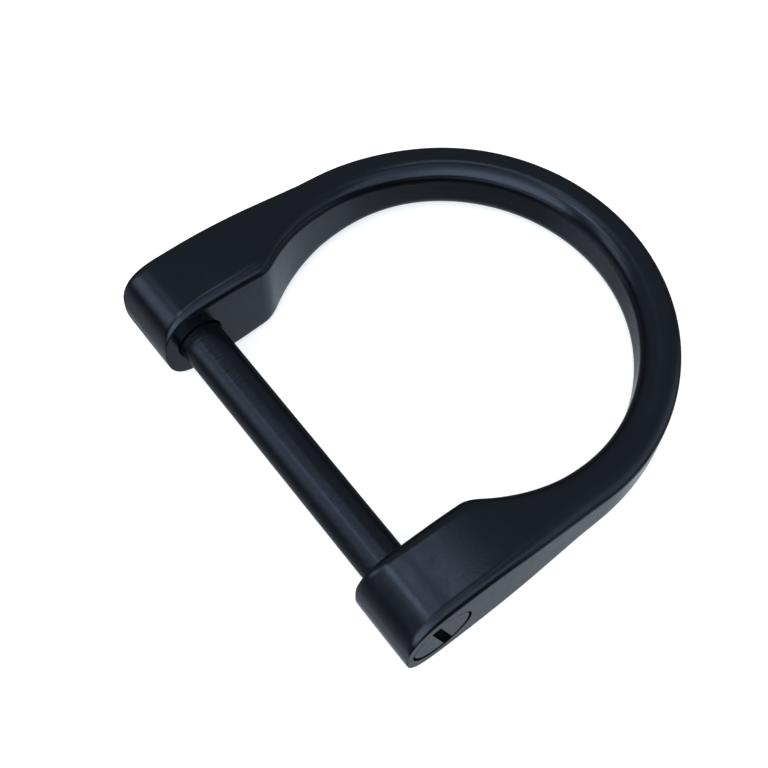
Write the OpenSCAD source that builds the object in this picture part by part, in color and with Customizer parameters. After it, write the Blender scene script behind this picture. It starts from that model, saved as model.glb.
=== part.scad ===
// D ring with a screw bar: a cast bow whose two lugs are closed by a slotted bar.
// Millimetres. The ring lies on a table at z = 0, as it comes to rest by itself:
// on its two thick lugs and on the far edge of its thinner bow. The bar runs along Y.

/* [Opening] */
// Clear width between the lugs, which takes the strap
gap_w = 25.5; // [20:0.5:40]
// How far each lug stands in from the widest part of the bow
lug_step = 2.9; // [1.5:0.1:5]
// From the bar's axis to the centre of the bow
bow_reach = 16.3; // [14:0.1:30]

/* [Frame] */
// Width of each lug, along the bar
lug_w = 6.45; // [6:0.05:10]
// Thickness of the lugs
lug_t = 9.25; // [8.5:0.05:12]
// Width of the bow, seen from above
bow_w = 3.4; // [3:0.05:6]
// Thickness of the bow
bow_t = 5.3; // [4:0.1:8]
// From the bar's axis to where the frame starts to get thinner
taper_start = 2.5; // [0:0.5:6]
// Length over which it gets thinner
taper_len = 22.5; // [12:0.5:30]
// Metal between the screw head and the free end of its lug
end_rim = 0.7; // [0.5:0.1:2]

/* [Rounding] */
// Radius of the long edges, on the bow
edge_r = 1.5; // [0.5:0.1:1.9]
// Radius of the long edges, on the lugs
lug_edge_r = 1.1; // [0.5:0.1:1.9]
// Radius of the free ends, seen from the side
end_r = 3.7; // [1:0.1:3.9]
// How that rounding meets the long edges: 1 adds the two, more brings out a mitre between them
mitre = 1.5; // [1:0.5:6]
// Radius of the free ends, seen from above
corner_r = 0.2; // [0.1:0.1:1.4]
// How much the corner between each lug and the bow is eased
ease = 0.6; // [0.1:0.05:1]

/* [Screw bar] */
// Diameter of the bar
bar_d = 3.9; // [3:0.1:4.5]
// Diameter of the screw head
head_d = 5.3; // [5:0.1:6]
// Thickness of the screw head
head_h = 1.8; // [1.4:0.1:2.5]
// How far the head lies below the lug's outer face
head_sunk = 0.05; // [0:0.05:0.4]
// Width of the screwdriver slot
slot_w = 0.8; // [0.6:0.1:1.4]
// Depth of the screwdriver slot
slot_deep = 0.9; // [0.5:0.1:1.2]
// Turn of the slot from upright, its top leaning towards the free end
slot_turn = 17; // [0:1:180]
// Length of the thread in the far lug
thread_len = 4.9; // [3:0.1:5]
// Pitch of the thread
pitch = 0.7; // [0.5:0.05:0.9]
// Depth of the thread
thread_deep = 0.38; // [0.2:0.02:0.45]

/* [Clearances] */
// Radial clearance round the bar in both lugs
bar_clear = 0.08; // [0.02:0.01:0.2]
// Radial clearance round the screw head
head_clear = 0.14; // [0.05:0.01:0.25]
// Clearance under the screw head and past the bar's tip
seat_clear = 0.05; // [0.02:0.01:0.3]

/* [Hidden] */
lug_y = gap_w/2;                  // inner face of a lug
side_y = lug_y + lug_w;           // outer face of a lug
bow_r = lug_y + lug_step;         // inside radius of the bow
rim_r = bow_r + bow_w;            // outside radius of the bow
end_x = head_d/2 + end_rim;       // the bar's axis to the free ends
bar_r = bar_d/2;
hole_r = bar_r + bar_clear;
sink_r = head_d/2 + head_clear;
sink_h = head_sunk + head_h + seat_clear;
mouth = 0.3;                      // bevel at the mouth of the threaded hole
bevel = 0.2;                      // bevel round the screw head and at the tip
bite = 0.01;                      // a cut runs this far past the face it opens
lug_x = bow_reach - sqrt(bow_r*bow_r - lug_y*lug_y);  // corner between lug and bow
round_n = 6;                      // facets in a quarter of an edge
bow_n = 30;                       // stations in a quarter turn of the bow
$fn = 64;

// Outline and thickness along the arm. x runs from the bar's axis towards the bow.
function smooth(t) = t <= 0 ? 0 : t >= 1 ? 1 : t*t*(3 - 2*t);
function mix(a, b, t) = a + (b - a)*t;
// The larger of two heights, blended where they lie closer than k
function blend_max(a, b, k) = max(a, b) + pow(max(k - abs(a - b), 0), 2)/(4*k);
// What a quarter round of radius r takes off, d in from its start
function round_off(d, r) = d >= r ? 0 : r - sqrt(max(r*r - (r - d)*(r - d), 0));
function half_thick(x) = mix(lug_t, bow_t, smooth((x - taper_start)/taper_len))/2;
function edge_at(x) = mix(lug_edge_r, edge_r, smooth((x - taper_start)/(bow_reach - taper_start)));
function end_drop(x) = round_off(x + end_x, end_r);
function half_height(x) = half_thick(x) - end_drop(x);
function outer_y(x) = mix(side_y, rim_r, smooth((x - lug_x)/(bow_reach - lug_x)))
    - round_off(x + end_x, corner_r);
function bow_y(x) = sqrt(max(bow_r*bow_r - pow(bow_reach - x, 2), 0));
function inner_y(x) = blend_max(lug_y, bow_y(x), ease) + round_off(x + end_x, corner_r);

// Stations along one arm: the rounded end, the lug, the eased corner and the arm
function steps(a, b, n) = [for (i = [0:n-1]) mix(a, b, i/n)];
end_xs = [for (i = [0:9]) -end_x + end_r*(1 - cos(i*10))];
ease_x = min(2.5*ease, (lug_x + end_x - end_r)/3, (bow_reach - lug_x)/3);
arm_xs = concat(end_xs,
    [for (x = steps(end_r - end_x, lug_x - ease_x, 6)) if (x > end_r - end_x) x],
    steps(lug_x - ease_x, lug_x + ease_x, 12),
    steps(lug_x + ease_x, bow_reach, 14));
function arm(x, side) = [[x, side*outer_y(x)], [x, side*inner_y(x)], half_thick(x), end_drop(x),
    edge_at(x)];
function bow(a) = let(c = cos(a), s = sin(a))
    [[bow_reach + rim_r*c, rim_r*s], [bow_reach + bow_r*c, bow_r*s],
     half_thick(bow_reach + (bow_r + bow_w/2)*c), 0, edge_r];
last = len(arm_xs) - 1;
stations = concat(
    [for (x = arm_xs) arm(x, -1)],
    [for (i = [-bow_n:bow_n]) bow(i*90/bow_n)],
    [for (i = [last:-1:0]) arm(arm_xs[i], 1)]);

// One station's section: a rectangle across the arm with four rounded corners, lowered at the
// free end, where both roundings meet
function join(a, b) = pow(pow(a, mitre) + pow(b, mitre), 1/mitre);
function section(s) = let(
    o = s[0], i = s[1], h = s[2], drop = s[3],
    u = (o - i)/norm(o - i),
    r = min(s[4], 0.85*h, 0.42*norm(o - i)),
    high = function (rise) max(h - join(r*(1 - rise), drop), 0.05),
    turn = [for (k = [0:round_n]) k*90/round_n])
    concat(
        [for (a = turn) let(p = o - u*r*(1 - cos(a))) [p.x, p.y, high(sin(a))]],
        [for (a = turn) let(p = i + u*r*(1 - sin(a))) [p.x, p.y, high(cos(a))]],
        [for (a = turn) let(p = i + u*r*(1 - cos(a))) [p.x, p.y, -high(sin(a))]],
        [for (a = turn) let(p = o - u*r*(1 - sin(a))) [p.x, p.y, -high(cos(a))]]);

// A solid through sections with the same number of points, closed at both ends
module loft(rings) {
    n = len(rings[0]);
    m = len(rings);
    polyhedron(
        points = [for (ring = rings) each ring],
        faces = concat(
            [[for (i = [0:n-1]) i]],
            [for (k = [0:m-2], i = [0:n-1]) let(j = (i + 1) % n)
                each [[k*n + i, (k+1)*n + i, (k+1)*n + j], [k*n + i, (k+1)*n + j, k*n + j]]],
            [[for (i = [n-1:-1:0]) (m-1)*n + i]]),
        convexity = 6);
}

// How the ring lies: turned about the bar until the lugs and the bow's edge are level
foot_x = bow_reach + rim_r - edge_r;
function lug_low(a) = max([for (i = [0:60]) let(x = mix(-end_x, bow_reach, i/60))
    x*sin(a) + half_height(x)*cos(a)]);
function bow_low(a) = foot_x*sin(a) + (bow_t/2 - edge_r)*cos(a) + edge_r;
function level_turn(lo, hi, n) = let(a = (lo + hi)/2)
    n == 0 ? a : bow_low(a) < lug_low(a) ? level_turn(a, hi, n - 1) : level_turn(lo, a, n - 1);
rest_turn = level_turn(0, 30, 24);
rest_lift = lug_low(rest_turn);
tip_x = foot_x*cos(rest_turn) + (bow_t/2 - edge_r)*sin(rest_turn) + edge_r;
end_low_x = (end_r - end_x)*cos(rest_turn) - (lug_t/2 - end_r)*sin(rest_turn) - end_r;
rest_shift = -(tip_x + end_low_x)/2;

module lying() {
    translate([rest_shift, 0, rest_lift]) rotate([0, rest_turn, 0]) children();
}

// Turns a shape that stands on z = 0 to lie along +Y, starting at y
module along_y(y) {
    translate([0, y, 0]) rotate([-90, 0, 0]) children();
}

// The bow and both lugs, one casting
module frame() {
    color([0.06, 0.065, 0.08]) lying() difference() {
        loft([for (s = stations) section(s)]);
        head_seat();
        threaded_hole();
    }
}

// The hole through the near lug, with the recess that takes the screw head
module head_seat() {
    along_y(-side_y - bite) cylinder(h = sink_h + bite, r = sink_r);
    along_y(-side_y) cylinder(h = lug_w + bite, r = hole_r);
}

// The blind hole in the far lug
module threaded_hole() {
    deep = thread_len + 3*seat_clear;
    along_y(lug_y - bite) cylinder(h = deep + bite, r = hole_r);
    along_y(lug_y - bite) cylinder(h = mouth + bite, r1 = hole_r + mouth + bite, r2 = hole_r);
}

// The bar from its head, which is flush in the near lug, to its threaded tip
module screw_bar() {
    head_y = head_sunk - side_y;
    neck_y = head_y + head_h;
    thread_y = lug_y + 2*seat_clear;
    tip_y = lug_y + thread_len;
    root_r = bar_r - thread_deep;
    turns = floor((tip_y - thread_y - bevel)/pitch);
    crest = pitch/8;
    profile = concat(
        [[0, head_y], [head_d/2 - bevel, head_y], [head_d/2, head_y + bevel],
         [head_d/2, neck_y], [bar_r, neck_y], [bar_r, thread_y]],
        [for (k = [0:turns-1]) let(y = thread_y + k*pitch) each
            [[root_r, y + pitch/2 - crest], [root_r, y + pitch/2],
             [bar_r - bar_clear/2, y + pitch - crest], [bar_r - bar_clear/2, y + pitch]]],
        [[root_r, tip_y], [0, tip_y]]);
    color([0.07, 0.075, 0.09]) lying() difference() {
        along_y(0) rotate_extrude() polygon(profile);
        along_y(head_y) rotate([0, 0, -slot_turn])
            translate([-slot_w/2, -head_d, -bite])
                cube([slot_w, 2*head_d, slot_deep + bite]);
    }
}

frame();
screw_bar();
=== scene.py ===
# D ring closed by a slotted screw bar, dressed as in its photograph.
# Shapes are worked out in millimetres in ring coordinates: the bar's axis is the Y axis, +X runs
# towards the bow and z = 0 is the ring's mid-plane. lie() takes them to the part's own frame.
import math

import bmesh
import bpy
import numpy as np
from mathutils import Matrix, Vector


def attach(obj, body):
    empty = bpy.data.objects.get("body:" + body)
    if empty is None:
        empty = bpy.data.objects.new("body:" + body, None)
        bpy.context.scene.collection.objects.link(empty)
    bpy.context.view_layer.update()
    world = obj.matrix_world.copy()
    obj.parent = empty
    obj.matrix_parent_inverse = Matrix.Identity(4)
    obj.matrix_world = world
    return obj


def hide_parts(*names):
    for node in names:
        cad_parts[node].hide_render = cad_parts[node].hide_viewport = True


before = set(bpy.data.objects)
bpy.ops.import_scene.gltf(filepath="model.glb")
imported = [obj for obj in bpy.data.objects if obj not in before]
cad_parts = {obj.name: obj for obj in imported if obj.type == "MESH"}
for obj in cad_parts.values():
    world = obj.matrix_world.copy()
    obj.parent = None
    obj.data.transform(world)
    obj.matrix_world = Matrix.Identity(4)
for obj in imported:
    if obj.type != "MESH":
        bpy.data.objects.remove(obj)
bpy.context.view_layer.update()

# Sizes in millimetres, as in the part's source, but for LUG_EDGE_R and MOUTH, which are smaller here.
# The opening, and from the bar's axis to the centre of the bow
GAP_W, LUG_STEP, BOW_REACH = 25.5, 2.9, 16.3
# The lugs, the bow, and how the arm gets thinner from one to the other
LUG_W, LUG_T, BOW_W, BOW_T = 6.45, 9.25, 3.4, 5.3
TAPER_START, TAPER_LEN, END_RIM = 2.5, 22.5, 0.7
# Roundings: the long edges, the free ends seen from the side and from above, and how these meet
EDGE_R, LUG_EDGE_R, END_R, CORNER_R, EASE, MITRE = 1.5, 0.9, 3.7, 0.2, 0.6, 1.5
# The screw bar, its slot and its thread
BAR_D, HEAD_D, HEAD_H, HEAD_SUNK = 3.9, 5.3, 1.8, 0.05
SLOT_W, SLOT_DEEP, SLOT_TURN = 0.8, 0.9, 17
THREAD_LEN, PITCH, THREAD_DEEP = 4.9, 0.7, 0.38
# Clearances, and the bevel at the mouth of the threaded hole
BAR_CLEAR, HEAD_CLEAR, SEAT_CLEAR, MOUTH = 0.08, 0.14, 0.05, 0.1

LUG_Y = GAP_W / 2                           # inner face of a lug
SIDE_Y = LUG_Y + LUG_W                      # outer face of a lug
BOW_R = LUG_Y + LUG_STEP                    # inside radius of the bow
RIM_R = BOW_R + BOW_W                       # outside radius of the bow
END_X = HEAD_D / 2 + END_RIM                # the bar's axis to the free ends
BAR_R = BAR_D / 2
HOLE_R = BAR_R + BAR_CLEAR
SINK_R = HEAD_D / 2 + HEAD_CLEAR            # the recess for the head
SINK_H = HEAD_SUNK + HEAD_H + SEAT_CLEAR
LUG_X = BOW_REACH - math.sqrt(BOW_R**2 - LUG_Y**2)  # corner between lug and bow

# How the ring lies on the table, as the part's source works it out from the sizes: turned about the
# bar, then moved over the origin
REST_TURN = math.radians(3.78709)
REST_SHIFT, REST_LIFT = -15.9701, 4.88325
TURN = np.array([
    [math.cos(REST_TURN), 0, math.sin(REST_TURN)],
    [0, 1, 0],
    [-math.sin(REST_TURN), 0, math.cos(REST_TURN)]])


def lie(points):
    """Ring coordinates in millimetres to the part's frame in metres."""
    return (np.asarray(points, float) @ TURN.T + [REST_SHIFT, 0, REST_LIFT]) * 0.001


# Outline and thickness of the casting

def smooth(t):
    """From 0 to 1 as t goes from 0 to 1, level at both ends."""
    t = np.clip(t, 0, 1)
    return t * t * (3 - 2 * t)


# How gently a rounding starts from the flat: 2 is a quarter round, and more is softer, as on polished
# castings
END_SOFT, EDGE_SOFT = 3.0, 2.2


def reach(soft):
    """How much further a soft rounding reaches than a quarter round that is as deep at 45 degrees."""
    return (1 - 0.5 ** 0.5) / (1 - 0.5 ** (1 / soft))


def round_off(d, r):
    """What a soft rounding of radius r takes off, d in from its start."""
    r = reach(END_SOFT) * r
    return r * (1 - (1 - np.clip(1 - d / r, 0, 1) ** END_SOFT) ** (1 / END_SOFT))


def half_thick(x):
    return (LUG_T + (BOW_T - LUG_T) * smooth((x - TAPER_START) / TAPER_LEN)) / 2


def end_drop(x):
    return round_off(x + END_X, END_R)


def outer_y(x):
    t = smooth((x - LUG_X) / (BOW_REACH - LUG_X))
    return SIDE_Y + (RIM_R - SIDE_Y) * t - round_off(x + END_X, CORNER_R)


def inner_y(x):
    bow = np.sqrt(np.maximum(BOW_R**2 - (BOW_REACH - x) ** 2, 0))
    blend = np.maximum(EASE - np.abs(LUG_Y - bow), 0) ** 2 / (4 * EASE)
    return np.maximum(LUG_Y, bow) + blend + round_off(x + END_X, CORNER_R)


# Least half height of a free end, where the roundings of the edges and of the end meet
END_FLAT = 0.3
# The parting line's step, and the half heights at its top and at its foot
PARTING, PARTING_TOP, PARTING_FOOT = 0.007, 0.05, 0.16
# Sections lie closest on both sides of the corner between lug and bow, up to this far from it
CORNER_NEAR = 2.2


def arm_stations():
    """Where an arm's sections lie: over the rounded end, along the lug, round the corner and beyond."""
    rounded = reach(END_SOFT) * END_R
    turn = np.radians(np.linspace(0, 90, 37))
    return np.concatenate([
        -END_X + rounded * (1 - np.cos(turn[:-1])),
        np.arange(rounded - END_X, LUG_X - CORNER_NEAR, 0.4),
        np.arange(LUG_X - CORNER_NEAR, LUG_X + CORNER_NEAR, 0.11),
        np.linspace(LUG_X + CORNER_NEAR, BOW_REACH, 28)[:-1]])


def wall(arm, bow, y, radius):
    """One wall seen from above: along the near arm, round the bow and back along the far arm."""
    return np.concatenate([
        np.stack([arm, -y(arm)], 1),
        np.stack([BOW_REACH + radius * np.cos(bow), radius * np.sin(bow)], 1),
        np.stack([arm, y(arm)], 1)[::-1]])


def all_round(on_arm, on_bow):
    """A value at every section, from its values on an arm and on the bow."""
    return np.concatenate([on_arm, on_bow, on_arm[::-1]])


def section_points():
    """The points of a section, upper edges first. Each is: its wall (0 inner, 1 outer), how far in from
    that wall and its face (1 upper, -1 lower), how high on the edge, and whether it lies on the parting
    line. In and high are shares of the edge radius. On the wall itself the face is 0 and high is in
    millimetres."""
    quarter = []
    for t in np.radians(np.linspace(0, 90, 21)):
        size = (math.cos(t) ** EDGE_SOFT + math.sin(t) ** EDGE_SOFT) ** (1 / EDGE_SOFT)
        quarter.append((math.cos(t) / size, math.sin(t) / size))
    line = [(PARTING_FOOT, 0), (PARTING_TOP, 1), (-PARTING_TOP, 1), (-PARTING_FOOT, 0)]
    return (
        [(1, c - 1, 1, s, 0) for c, s in quarter]
        + [(0, 1 - s, 1, c, 0) for c, s in quarter]
        + [(0, 0, 0, z, step) for z, step in line]
        + [(0, 1 - c, -1, s, 0) for c, s in quarter]
        + [(1, s - 1, -1, c, 0) for c, s in quarter]
        + [(1, 0, 0, -z, step) for z, step in line])


def casting_mesh():
    """The whole casting without its holes: sections swept from one free end round to the other."""
    arm = arm_stations()
    bow = np.radians(np.linspace(-90, 90, 151))
    outer, inner = wall(arm, bow, outer_y, RIM_R), wall(arm, bow, inner_y, BOW_R)
    high = all_round(half_thick(arm), half_thick(BOW_REACH + (BOW_R + BOW_W / 2) * np.cos(bow)))
    drop = all_round(end_drop(arm), np.zeros(len(bow)))
    far = all_round(smooth((arm - TAPER_START) / (BOW_REACH - TAPER_START)), np.ones(len(bow)))
    width = np.linalg.norm(outer - inner, axis=1)
    u = (outer - inner) / width[:, None]
    # the edge radius, held within the section as in the part's source
    r = LUG_EDGE_R + (EDGE_R - LUG_EDGE_R) * far
    r = np.minimum(r, np.minimum(0.85 * high, 0.42 * width))
    r = np.minimum(reach(EDGE_SOFT) * r, 0.49 * width)
    rings = []
    for side, across, face, rise, step in section_points():
        base = outer if side else inner
        p = base + u * (r * across - PARTING * step)[:, None]
        # where the edge's and the end's rounding meet, the two fall off together, down to a narrow flat
        fall = ((r * (1 - rise)) ** MITRE + drop ** MITRE) ** (1 / MITRE)
        z = face * np.maximum(high - fall, END_FLAT) if face else np.full(len(r), rise)
        rings.append(np.column_stack([p, z]))
    verts = np.stack(rings, 1)
    n, m = verts.shape[:2]
    k, i = np.meshgrid(np.arange(n - 1), np.arange(m), indexing="ij")
    j = (i + 1) % m
    quads = np.stack([k * m + i, (k + 1) * m + i, (k + 1) * m + j, k * m + j], -1)
    faces = quads.reshape(-1, 4).tolist()
    faces.append(list(range(m)))
    faces.append(list(range((n - 1) * m, n * m))[::-1])
    return verts.reshape(-1, 3), faces


# Turned shapes

def arc(cx, cy, r, a0, a1, n):
    """Points (radius, y) on an arc round (cx, cy), angles in degrees."""
    return [(cx + r * math.cos(math.radians(a)), cy + r * math.sin(math.radians(a)))
            for a in np.linspace(a0, a1, n)]


def face_outwards(mesh):
    """Turns the faces of a closed mesh outwards."""
    bm = bmesh.new()
    bm.from_mesh(mesh)
    bmesh.ops.recalc_face_normals(bm, faces=bm.faces)
    bm.to_mesh(mesh)
    bm.free()


def turned(before, after, thread=None, columns=96):
    """A closed turned solid about the Y axis. before and after are (radius, y) profiles; between
    them an optional helical thread runs: (y0, y1, root, crest), which fades in and out."""
    theta = np.linspace(0, 2 * math.pi, columns + 1)
    rows = [(np.full(columns + 1, r), np.full(columns + 1, y)) for r, y in before]
    if thread:
        y0, y1, root, crest = thread
        # shares of a turn: a crest of 1/8, a slope, a root of 1/4 and a slope
        share = [(0.0, 1.0), (0.125, 1.0), (0.4375, 0.0), (0.6875, 0.0)]
        for k in range(-1, int((y1 - y0) / PITCH) + 2):
            for at, level in share:
                y = y0 + PITCH * (k + at + theta / (2 * math.pi))
                fade = smooth((y - y0) / (0.7 * PITCH)) * smooth((y1 - y) / (0.7 * PITCH))
                rows.append((root + (crest - root) * level * fade, np.clip(y, y0, y1)))
    rows += [(np.full(columns + 1, r), np.full(columns + 1, y)) for r, y in after]
    bm = bmesh.new()
    grid = []
    for r, y in rows:
        grid.append([bm.verts.new((r[i] * math.sin(theta[i]), y[i], r[i] * math.cos(theta[i])))
                     for i in range(columns + 1)])
    for a, b in zip(grid, grid[1:]):
        for i in range(columns):
            bm.faces.new((a[i], a[i + 1], b[i + 1], b[i]))
    bmesh.ops.remove_doubles(bm, verts=bm.verts, dist=2e-4)
    bmesh.ops.dissolve_degenerate(bm, edges=bm.edges, dist=1e-4)
    bmesh.ops.recalc_face_normals(bm, faces=bm.faces)
    mesh = bpy.data.meshes.new("turned")
    bm.to_mesh(mesh)
    bm.free()
    return bpy.data.objects.new("turned", mesh)


def box_cutter(profile, length, y0):
    """A long bar along Z whose section in X and Y is the profile: (half width, y) from the top down."""
    pts = [(x, y + y0) for x, y in profile] + [(-x, y + y0) for x, y in reversed(profile)]
    n = len(pts)
    verts = [(x, y, -length) for x, y in pts] + [(x, y, length) for x, y in pts]
    faces = [list(range(n))[::-1], list(range(n, 2 * n))]
    faces += [[i, (i + 1) % n, n + (i + 1) % n, n + i] for i in range(n)]
    mesh = bpy.data.meshes.new("cutter")
    mesh.from_pydata(verts, [], faces)
    face_outwards(mesh)
    return bpy.data.objects.new("cutter", mesh)


def cut(body, cutters):
    """body less the cutters, as one new mesh; the helpers are removed."""
    for o in [body, *cutters]:
        bpy.context.scene.collection.objects.link(o)
    for c in cutters:
        m = body.modifiers.new("cut", "BOOLEAN")
        m.operation, m.solver, m.object = "DIFFERENCE", "EXACT", c
    bpy.context.view_layer.update()
    mesh = bpy.data.meshes.new_from_object(body.evaluated_get(bpy.context.evaluated_depsgraph_get()))
    for o in [body, *cutters]:
        bpy.data.objects.remove(o)
    return mesh


# The two pieces

def worn(mesh):
    """Stores how far each vertex stands out on a rounded edge, 0 to 1, for the finish to use."""
    n = len(mesh.vertices)
    co = np.empty(n * 3)
    mesh.vertices.foreach_get("co", co)
    co = co.reshape(-1, 3)
    normal = np.empty(n * 3)
    mesh.vertex_normals.foreach_get("vector", normal)
    normal = normal.reshape(-1, 3)
    ends = np.empty(len(mesh.edges) * 2, int)
    mesh.edges.foreach_get("vertices", ends)
    a, b = ends.reshape(-1, 2).T
    d = co[b] - co[a]
    length_squared = np.maximum(np.einsum("ij,ij->i", d, d), 1e-12)
    bend = np.einsum("ij,ij->i", normal[b] - normal[a], d) / length_squared
    for _ in range(2):
        total, count = np.zeros(n), np.zeros(n)
        for end in (a, b):
            np.add.at(total, end, bend)
            np.add.at(count, end, 1)
        per_vertex = total / np.maximum(count, 1)
        bend = (per_vertex[a] + per_vertex[b]) / 2
    rub = mesh.attributes.new("rub", "FLOAT", "POINT")
    rub.data.foreach_set("value", np.clip((per_vertex - 0.08) / 0.35, 0, 1).astype(np.float32))


def shade(mesh, sharp):
    """Smooth shading that keeps flats flat: a corner takes the mean of the faces that meet there within
    the sharp angle of its own, weighed by the square of their areas."""
    vert = np.empty(len(mesh.loops), int)
    mesh.loops.foreach_get("vertex_index", vert)
    sides, area = np.empty(len(mesh.polygons), int), np.empty(len(mesh.polygons))
    mesh.polygons.foreach_get("loop_total", sides)
    mesh.polygons.foreach_get("area", area)
    facing = np.empty(len(mesh.polygons) * 3)
    mesh.polygons.foreach_get("normal", facing)
    face = np.repeat(np.arange(len(sides)), sides)
    order = np.argsort(vert, kind="stable")
    first = np.searchsorted(vert[order], np.arange(len(mesh.vertices)))
    count = np.bincount(vert, minlength=len(mesh.vertices))
    facing, own = facing.reshape(-1, 3), facing.reshape(-1, 3)[face]
    place = np.empty(len(vert), int)
    place[order] = np.arange(len(vert)) - first[vert[order]]
    total = np.zeros((len(vert), 3))
    for k in range(count.max()):
        near = np.flatnonzero(count[vert] > k)
        v = vert[near]
        other = face[order[first[v] + (place[near] + k) % count[v]]]
        close = np.einsum("ij,ij->i", facing[other], own[near]) > math.cos(math.radians(sharp))
        total[near] += facing[other] * (area[other] ** 2 * close)[:, None]
    mesh.shade_smooth()
    mesh.normals_split_custom_set((total / np.linalg.norm(total, axis=1)[:, None]).tolist())


def piece(name, mesh, sharp):
    """The finished object of a mesh in ring millimetres: laid down, smooth shaded, flats kept flat."""
    worn(mesh)
    co = np.empty(len(mesh.vertices) * 3)
    mesh.vertices.foreach_get("co", co)
    mesh.vertices.foreach_set("co", lie(co.reshape(-1, 3)).ravel())
    mesh.name = name
    mesh.update()
    shade(mesh, sharp)
    o = bpy.data.objects.new(name, mesh)
    bpy.context.scene.collection.objects.link(o)
    return o


def head_seat():
    """A cutter for the near lug's hole and its recess, with a small lip at both openings."""
    lip, start = 0.04, 0.012    # the lips' radius, and how far outside the face they start
    corner = 0.1                # rounding at the foot of the recess
    return turned(
        [(0, -SIDE_Y - 1), (SINK_R + lip, -SIDE_Y - 1)]
        + arc(SINK_R + lip, -SIDE_Y - start + lip, lip, 270, 180, 7)
        + arc(SINK_R - corner, -SIDE_Y + SINK_H - corner, corner, 0, 90, 4)
        + [(HOLE_R, -SIDE_Y + SINK_H)],
        arc(HOLE_R + lip, -LUG_Y + start - lip, lip, 180, 90, 7)
        + [(HOLE_R + lip, -LUG_Y + 1), (0, -LUG_Y + 1)])


def threaded_hole():
    """A cutter for the far lug's blind hole. Its thread is cut outwards, so that the bar slides clear."""
    deep = LUG_Y + THREAD_LEN + 3 * SEAT_CLEAR
    mouth_r, flare = HOLE_R + MOUTH, 0.08
    groove, plain = 0.27, 0.4   # depth of the thread, and the length without one at the hole's foot
    return turned(
        [(0, LUG_Y - 1), (mouth_r + flare, LUG_Y - 1), (mouth_r + flare, LUG_Y - 0.01),
         (mouth_r, LUG_Y + 0.02), (HOLE_R, LUG_Y + MOUTH)],
        [(HOLE_R, deep - 0.35), (HOLE_R - 0.1, deep - 0.05), (HOLE_R - 0.25, deep), (0, deep)],
        thread=(LUG_Y + MOUTH, deep - plain, HOLE_R, HOLE_R + groove))


def make_ring():
    verts, faces = casting_mesh()
    mesh = bpy.data.meshes.new("casting")
    mesh.from_pydata(verts.tolist(), [], faces)
    face_outwards(mesh)
    casting = bpy.data.objects.new("casting", mesh)
    ring = piece("ring_body", cut(casting, [head_seat(), threaded_hole()]), sharp=35)
    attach(ring, "frame")
    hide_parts("frame")
    return ring


def bar_blank():
    """The bar as turned, from its head to its threaded tip, without the slot."""
    head = HEAD_SUNK - SIDE_Y
    neck = head + HEAD_H
    start = LUG_Y + 2 * SEAT_CLEAR
    tip = LUG_Y + THREAD_LEN
    rim, neck_rim = 0.16, 0.05      # roundings of the head
    run_out, tip_bevel = 0.16, 0.25
    root = BAR_R - THREAD_DEEP
    return turned(
        [(0, head), (HEAD_D / 2 - rim - 0.9, head), (HEAD_D / 2 - rim - 0.3, head)]
        + arc(HEAD_D / 2 - rim, head + rim, rim, 270, 360, 7)
        + arc(HEAD_D / 2 - neck_rim, neck - neck_rim, neck_rim, 0, 90, 3)
        + [(BAR_R, neck)]
        + [(BAR_R, y) for y in np.linspace(neck + 0.6, start - 0.25, 20)]
        + [(BAR_R, start - 0.1), (root + 0.25, start + 0.02), (root, start + run_out)],
        [(root, tip - tip_bevel), (root - 0.22, tip), (0, tip)],
        thread=(start + run_out, tip - tip_bevel, root, BAR_R - BAR_CLEAR / 2))


def screwdriver_slot():
    """A cutter across the head. Its edges flare a little and its foot has rounded corners."""
    half, flare, corner = SLOT_W / 2, 0.05, 0.08
    slot = box_cutter(
        [(half + flare + 0.3, -0.3), (half + flare, -0.002), (half + 0.3 * flare, 0.25 * flare),
         (half, flare), (half, SLOT_DEEP - corner), (half - corner, SLOT_DEEP)],
        4, HEAD_SUNK - SIDE_Y)
    slot.data.transform(Matrix.Rotation(-math.radians(SLOT_TURN), 4, "Y"))
    return slot


def make_bar():
    bar = piece("bar", cut(bar_blank(), [screwdriver_slot()]), sharp=32)
    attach(bar, "screw_bar")
    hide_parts("screw_bar")
    return bar


# Finishes

class Nodes:
    """A short hand for building a material's node tree."""

    def __init__(self, name):
        self.material = bpy.data.materials.new(name)
        self.material.use_nodes = True
        self.tree = self.material.node_tree
        self.tree.nodes.clear()

    def add(self, kind, inputs=None, **settings):
        node = self.tree.nodes.new(kind)
        for key, value in settings.items():
            setattr(node, key, value)
        for key, value in (inputs or {}).items():
            if isinstance(value, bpy.types.NodeSocket):
                self.tree.links.new(value, node.inputs[key])
            else:
                node.inputs[key].default_value = value
        return node


def noise(n, where, size, detail=2.0, rough=0.5, w=0.0):
    """Noise whose features are about size millimetres across."""
    return n.add("ShaderNodeTexNoise", {
        "Vector": where, "W": w, "Scale": 1000 / size, "Detail": detail, "Roughness": rough},
        noise_dimensions="4D").outputs[0]


def ramp(n, value, low, high, to_low=0.0, to_high=1.0):
    return n.add("ShaderNodeMapRange", {
        "Value": value, "From Min": low, "From Max": high, "To Min": to_low, "To Max": to_high},
        interpolation_type="SMOOTHSTEP").outputs[0]


def blend(n, factor, a, b):
    node = n.add("ShaderNodeMix", {"Factor": factor}, data_type="RGBA")
    for socket, value in ((node.inputs[6], a), (node.inputs[7], b)):
        if isinstance(value, bpy.types.NodeSocket):
            n.tree.links.new(value, socket)
        else:
            socket.default_value = (*value, 1)
    return node.outputs[2]


def math_node(n, operation, a, b):
    return n.add("ShaderNodeMath", {0: a, 1: b}, operation=operation).outputs[0]


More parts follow.
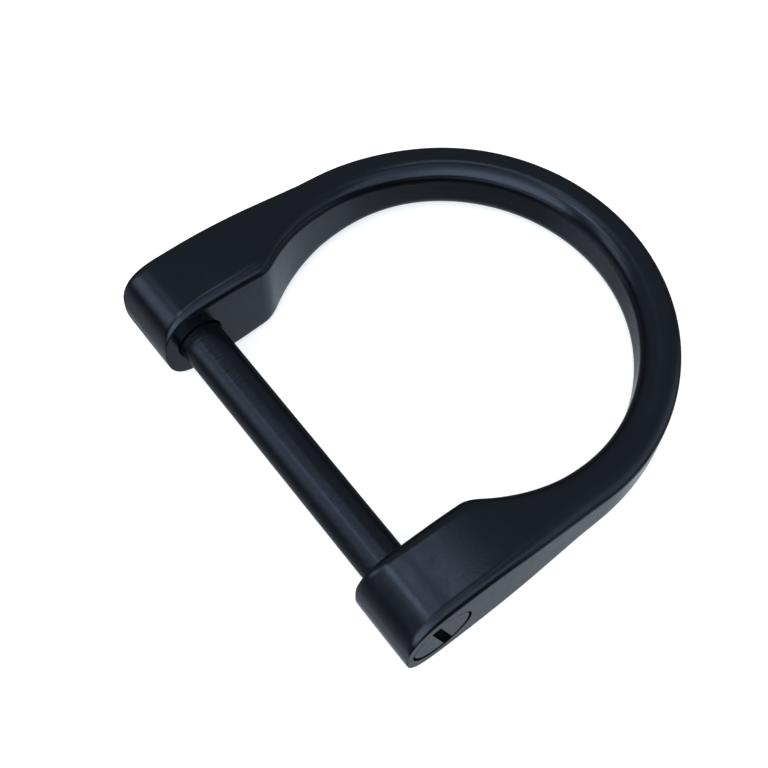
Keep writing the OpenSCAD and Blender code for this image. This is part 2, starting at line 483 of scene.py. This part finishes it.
# The paint's darker and lighter black, its dust, and the depth of its skin in metres
DEEP_BLACK, LIGHT_BLACK, DUST = (0.0016, 0.0017, 0.0026), (0.0026, 0.0028, 0.004), (0.2, 0.21, 0.23)
PEEL = 0.000005


def paint(name, rough, seed, turned_grain=0.0):
    """Satin black paint on metal: soft colour variation, rubbed edges, a fine skin and specks of dust.
    turned_grain adds the fine rings of a turned bar, as a share of the skin's depth."""
    n = Nodes(name)
    where = n.add("ShaderNodeTexCoord").outputs["Object"]
    rub = n.add("ShaderNodeAttribute", attribute_name="rub", attribute_type="GEOMETRY").outputs["Fac"]
    cloud = noise(n, where, 7, 3, 0.55, seed)
    grain = noise(n, where, 0.22, 3, 0.6, seed + 1)
    skin = noise(n, where, 0.9, 2, 0.5, seed + 2)
    scuff = noise(n, where, 2.4, 4, 0.6, seed + 3)
    # Specks: one small dot in some of the cells
    cells = n.add("ShaderNodeTexVoronoi", {"Vector": where, "Scale": 1000 / 2.3}, feature="F1")
    near = ramp(n, cells.outputs["Distance"], 0.010, 0.022, 1.0, 0.0)
    chosen = n.add("ShaderNodeSeparateColor", {"Color": cells.outputs["Color"]}).outputs[0]
    speck = math_node(n, "MULTIPLY", near, ramp(n, chosen, 0.8, 0.82))
    tone = blend(n, ramp(n, cloud, 0.35, 0.65), DEEP_BLACK, LIGHT_BLACK)
    edge = math_node(n, "MULTIPLY", rub, ramp(n, scuff, 0.4, 0.7, 0.3, 1.0))
    tone = blend(n, math_node(n, "MULTIPLY", edge, 0.3), tone, tuple(2.2 * x for x in LIGHT_BLACK))
    tone = blend(n, math_node(n, "MULTIPLY", speck, 0.4), tone, DUST)
    spread = ramp(n, skin, 0.3, 0.7, rough - 0.02, rough + 0.03)
    spread = math_node(n, "SUBTRACT", spread, math_node(n, "MULTIPLY", edge, 0.03))
    spread = math_node(n, "ADD", spread, ramp(n, grain, 0.3, 0.7, -0.02, 0.02))
    height = math_node(n, "ADD", skin, math_node(n, "MULTIPLY", grain, 1.1))
    if turned_grain:
        stretch = {0: where, 1: (0.22, 1, 0.22)}
        round_it = n.add("ShaderNodeVectorMath", stretch, operation="MULTIPLY").outputs[0]
        fine = noise(n, round_it, 0.16, 3, 0.65, seed + 5)
        height = math_node(n, "ADD", height, math_node(n, "MULTIPLY", fine, turned_grain))
    bump = n.add("ShaderNodeBump", {"Height": height, "Strength": 1.0, "Distance": PEEL})
    shader = n.add("ShaderNodeBsdfPrincipled", {
        "Base Color": tone, "Roughness": spread, "IOR": 1.5, "Specular IOR Level": 0.7,
        "Specular Tint": (0.69, 0.805, 1.0, 1), "Normal": bump.outputs[0]})
    n.add("ShaderNodeOutputMaterial", {"Surface": shader.outputs[0]})
    return n.material


ring = make_ring()
bar = make_bar()
for dressed, finish in ((ring, paint("frame_paint", rough=0.21, seed=1.0)),
                        (bar, paint("bar_paint", rough=0.22, seed=9.0, turned_grain=5.0))):
    dressed.data.materials.clear()
    dressed.data.materials.append(finish)


# Floor, light and camera

FLOOR_HALF = 1.5    # half the floor's width, in metres


def floor():
    bm = bmesh.new()
    bmesh.ops.create_grid(bm, x_segments=8, y_segments=8, size=FLOOR_HALF)
    mesh = bpy.data.meshes.new("floor")
    bm.to_mesh(mesh)
    bm.free()
    o = bpy.data.objects.new("floor", mesh)
    bpy.context.scene.collection.objects.link(o)
    n = Nodes("floor_paper")
    where = n.add("ShaderNodeTexCoord").outputs["Object"]
    tone = blend(n, noise(n, where, 60, 2, 0.5, 3.0), (0.86, 0.86, 0.86), (0.88, 0.88, 0.88))
    shader = n.add("ShaderNodeBsdfPrincipled", {
        "Base Color": tone, "Roughness": 0.9, "Specular IOR Level": 0.1,
        "Emission Color": (1, 1, 1, 1), "Emission Strength": 0.6})
    n.add("ShaderNodeOutputMaterial", {"Surface": shader.outputs[0]})
    mesh.materials.append(n.material)
    o.visible_glossy = False


def table_light():
    """A soft square lamp straight above, chiefly for the table. It lights the paint a little too, but the
    paint doesn't mirror it.
    """
    light = bpy.data.lights.new("table_light", "AREA")
    light.shape = "RECTANGLE"
    light.size, light.size_y = 0.9, 0.9
    light.energy, light.color = 2.5, (1, 0.98, 0.95)
    o = bpy.data.objects.new("table_light", light)
    o.location = (0, 0, 0.7)
    o.visible_camera = False
    o.visible_glossy = False
    bpy.context.scene.collection.objects.link(o)


# The photograph's view, in ring coordinates: degrees turned round the ring, raised above it and rolled,
# the camera's place in millimetres, and its lens
VIEW_TURN, VIEW_RISE, VIEW_ROLL = -40.266, 61.922, 2.720
CAMERA_PLACE = (-22.276, -37.389, 92.274)
LENS, SENSOR = 59.88, 36


def camera():
    """The photograph's camera, laid down with the ring."""
    a, e, roll = (math.radians(x) for x in (VIEW_TURN, VIEW_RISE, VIEW_ROLL))
    back = Vector((math.sin(a) * math.cos(e), -math.cos(a) * math.cos(e), math.sin(e)))
    right = Vector((math.cos(a), math.sin(a), 0))
    up = back.cross(right)
    x = math.cos(roll) * right + math.sin(roll) * up
    y = -math.sin(roll) * right + math.cos(roll) * up
    data = bpy.data.cameras.new("camera")
    data.lens, data.sensor_width = LENS, SENSOR
    data.clip_start, data.clip_end = 0.005, 10
    m = Matrix.Identity(4)
    for i, axis in enumerate((x, y, back)):
        m.col[i] = (*(TURN @ np.array(axis)), 0)
    m.col[3] = (*lie(CAMERA_PLACE), 1)
    o = bpy.data.objects.new("camera", data)
    o.matrix_world = m
    bpy.context.scene.collection.objects.link(o)
    bpy.context.scene.camera = o


class Studio(Nodes):
    """The light all round: soft boxes and a dim room, laid out by azimuth (0 along +Y, 90 along +X)
    and by elevation, both in degrees. Azimuths are counted from SEAM, where nothing bright lies."""

    SEAM = 98

    def __init__(self):
        self.material = bpy.data.worlds.new("studio")
        self.material.use_nodes = True
        self.tree = self.material.node_tree
        self.tree.nodes.clear()
        way = self.add("ShaderNodeTexCoord").outputs["Generated"]
        a = math.radians(self.SEAM)
        ahead = self.dot(way, (-math.sin(a), -math.cos(a), 0))
        aside = self.dot(way, (-math.cos(a), math.sin(a), 0))
        turn = self.math("ARCTAN2", aside, ahead)
        self.azimuth = self.math("MULTIPLY", turn, 180 / math.pi)
        rise = self.math("ARCSINE", self.dot(way, (0, 0, 1)), 0)
        self.elevation = self.math("MULTIPLY", rise, 180 / math.pi)
        self.total = None

    def dot(self, a, b):
        return self.add("ShaderNodeVectorMath", {0: a, 1: b}, operation="DOT_PRODUCT").outputs["Value"]

    def math(self, operation, a, b):
        return math_node(self, operation, a, b)

    def step(self, value, low, high):
        """0 below low and 1 above high, or the other way round if low is the larger."""
        if low > high:
            return ramp(self, value, high, low, 1, 0)
        return ramp(self, value, low, high, 0, 1)

    def box(self, level, azimuth=None, elevation=None):
        """Adds a soft box. Each side is (where it starts to fade in, full, full, faded out); None is no
        limit. A level below 0 takes light away."""
        share = None
        ways = ((self.azimuth, azimuth, self.SEAM - 180), (self.elevation, elevation, 0))
        for value, sides, offset in ways:
            if sides is None:
                continue
            a, b, c, d = (x - offset if x is not None else None for x in sides)
            for low, high in ((a, b), (d, c)):
                if low is None:
                    continue
                part = self.step(value, low, high)
                share = part if share is None else self.math("MULTIPLY", share, part)
        part = self.math("MULTIPLY", share, level)
        self.total = part if self.total is None else self.math("ADD", self.total, part)

    def finish(self, colour):
        shade = self.add("ShaderNodeBackground", {"Color": (*colour, 1), "Strength": self.total})
        self.add("ShaderNodeOutputWorld", {"Surface": shade.outputs[0]})
        bpy.context.scene.world = self.material


def light():
    """The studio that the paint mirrors. Azimuths run from -262 to 98."""
    s = Studio()
    # the dim room, brighter upwards, with a dark gap between the table and the large box
    s.box(0.07, elevation=(-89, -88, None, None))
    s.box(0.15, elevation=(-11, 38, None, None))
    s.box(-0.07, azimuth=(-213, -183, -117, -85), elevation=(-46, -35, -5, 0))
    s.box(0.33, azimuth=(-267, -218, -62, -59), elevation=(41, 54, None, None))
    # the table, brighter to the sides
    s.box(0.23, elevation=(None, None, -53, -51))
    s.box(0.13, azimuth=(-273, -262, -203, -199), elevation=(-74, -66, -55, -51))
    s.box(0.49, azimuth=(-36, -25, None, None), elevation=(None, None, -62, -61))
    s.box(0.19, azimuth=(-95, -64, -42, -39), elevation=(-55, -52, -32, 1))
    # the large box by the camera
    s.box(0.63, azimuth=(-210, -205, -85, -83), elevation=(-2, 7, 37, 60))
    s.box(0.87, azimuth=(-183, -134, -89, -84), elevation=(-17, -9, 35, 84))
    # a strip on the far left
    s.box(1.10, azimuth=(-66, -62, -55, -36), elevation=(0, 27, 41, 53))
    s.box(1.34, azimuth=(-67, -42, -49, -25), elevation=(47, 53, 69, 71))
    # a strip high up beyond the ring
    s.box(1.70, azimuth=(-74, -65, -56, -38), elevation=(57, 64, 67, 74))
    s.box(1.35, azimuth=(-50, -34, 24, 44), elevation=(68, 75, 77, 83))
    s.box(1.35, azimuth=(28, 46, 64, 92), elevation=(61, 67, 69, 74))
    # a strip on the right
    s.box(0.43, azimuth=(-266, -235, -207, -203), elevation=(-42, -6, -10, 40))
    s.finish(colour=(0.90, 1.0, 1.12))


floor()
light()
table_light()
bpy.context.scene.view_settings.view_transform = "Standard"
camera()
